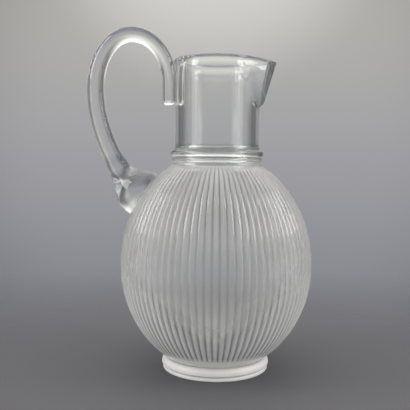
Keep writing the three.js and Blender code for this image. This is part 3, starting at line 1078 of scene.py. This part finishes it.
def floor_material(s):
    """Matt floor that fades into the background."""
    material = bpy.data.materials.new("matt_floor")
    material.use_nodes = True
    tree = material.node_tree
    shader = tree.nodes["Principled BSDF"]
    shader.inputs["Base Color"].default_value = (*s.floor_colour, 1.0)
    shader.inputs["Roughness"].default_value = s.floor_roughness
    shader.inputs["Specular IOR Level"].default_value = s.floor_gloss
    clear = tree.nodes.new("ShaderNodeBsdfTransparent")
    mix = tree.nodes.new("ShaderNodeMixShader")
    fading = (s.floor_radius * s.floor_whole, s.floor_radius)
    faded = blend(tree, distance(tree, coordinates(tree)), fading, 0.0, 1.0, kind="SMOOTHSTEP")
    tree.links.new(faded, mix.inputs["Fac"])
    tree.links.new(shader.outputs["BSDF"], mix.inputs[1])
    tree.links.new(clear.outputs["BSDF"], mix.inputs[2])
    tree.links.new(mix.outputs["Shader"], tree.nodes["Material Output"].inputs["Surface"])
    return material


def add_floor(s):
    """A disc that reaches a little further than its material."""
    margin = 1.05
    clear_selection()
    bpy.ops.mesh.primitive_circle_add(vertices=96, radius=s.floor_radius * margin, fill_type="NGON")
    floor = bpy.context.object
    floor.name = "floor"
    floor.data.materials.append(floor_material(s))


def add_camera():
    """The camera of the photograph: in front, a little above the belly, aimed slightly left."""
    back, height = 0.431, 0.1372
    yaw, pitch, roll = math.radians(1.02), math.radians(3.67), math.radians(0.48)
    focal, frame_width, sensor = 642.0, 410.0, 36.0
    forward = Vector(
        (-math.sin(yaw) * math.cos(pitch), math.cos(yaw) * math.cos(pitch), -math.sin(pitch))
    )
    right = Vector((math.cos(yaw), math.sin(yaw), 0.0))
    up = right.cross(forward)
    right, up = (
        right * math.cos(roll) + up * math.sin(roll),
        up * math.cos(roll) - right * math.sin(roll),
    )
    turned = Matrix((right, up, -forward)).transposed().to_4x4()
    clear_selection()
    bpy.ops.object.camera_add()
    camera = bpy.context.object
    camera.matrix_world = Matrix.Translation((0.0, -back, height)) @ turned
    camera.data.sensor_width = sensor
    camera.data.lens = sensor * focal / frame_width
    camera.data.clip_start = 0.01
    bpy.context.scene.camera = camera


class PITCHER_OT_stage(Operator):
    """Sets up the floor, the background, the soft lights and the camera"""

    bl_idname = "pitcher.stage"
    bl_label = "Stage"

    def execute(self, context):
        s = settings().stage
        add_floor(s)
        paint_world(s)
        add_lamp_pair("key", KEY_PLACE, KEY_SIZE, s.key_power, s.lamp_colour)
        add_lamp_pair("fill", FILL_PLACE, FILL_SIZE, s.fill_power, s.lamp_colour)
        add_camera()
        context.scene.view_settings.view_transform = "Standard"
        context.scene.cycles.max_bounces = 32
        context.scene.cycles.glossy_bounces = 24
        context.scene.cycles.transmission_bounces = 32
        return {"FINISHED"}


class PITCHER_PG_all(PropertyGroup):
    """All settings of the pitcher."""

    foot: PointerProperty(type=PITCHER_PG_foot, name="Foot", description="Sizes of the foot")
    globe: PointerProperty(type=PITCHER_PG_globe, name="Globe", description="Sizes of the globe")
    neck: PointerProperty(type=PITCHER_PG_neck, name="Neck", description="Sizes of neck and beak")
    collar: PointerProperty(type=PITCHER_PG_collar, name="Collar", description="Sizes of the rings")
    handle: PointerProperty(type=PITCHER_PG_handle, name="Handle", description="Sizes of the handle")
    glass: PointerProperty(type=PITCHER_PG_glass, name="Glass", description="Colours and finishes")
    stage: PointerProperty(type=PITCHER_PG_stage, name="Stage", description="Floor and lights")


OPERATORS = (
    PITCHER_OT_foot,
    PITCHER_OT_globe,
    PITCHER_OT_neck,
    PITCHER_OT_collar,
    PITCHER_OT_handle_pad,
    PITCHER_OT_handle_rod,
    PITCHER_OT_stage,
)


class PITCHER_PT_panel(Panel):
    """Lists the pieces and their settings"""

    bl_idname = "PITCHER_PT_panel"
    bl_label = "Ribbed glass pitcher"
    bl_space_type = "VIEW_3D"
    bl_region_type = "UI"
    bl_category = "Pitcher"

    def draw(self, context):
        for operator in OPERATORS:
            self.layout.operator(operator.bl_idname)
        for name in PITCHER_PG_all.__annotations__:
            group = getattr(context.scene.pitcher, name)
            box = self.layout.box()
            box.label(text=name.capitalize())
            for setting in group.__annotations__:
                box.prop(group, setting)


CLASSES = (
    PITCHER_PG_foot,
    PITCHER_PG_globe,
    PITCHER_PG_neck,
    PITCHER_PG_collar,
    PITCHER_PG_handle,
    PITCHER_PG_glass,
    PITCHER_PG_stage,
    PITCHER_PG_all,
    *OPERATORS,
    PITCHER_PT_panel,
)


def register():
    for cls in CLASSES:
        bpy.utils.register_class(cls)
    bpy.types.Scene.pitcher = PointerProperty(type=PITCHER_PG_all)


def unregister():
    del bpy.types.Scene.pitcher
    for cls in reversed(CLASSES):
        bpy.utils.unregister_class(cls)


def main():
    """Builds every piece and the stage."""
    register()
    bpy.ops.pitcher.foot()
    bpy.ops.pitcher.globe()
    bpy.ops.pitcher.neck()
    bpy.ops.pitcher.collar()
    bpy.ops.pitcher.handle_pad()
    bpy.ops.pitcher.handle_rod()
    bpy.ops.pitcher.stage()
    clear_selection()


if __name__ == "__main__":
    main()
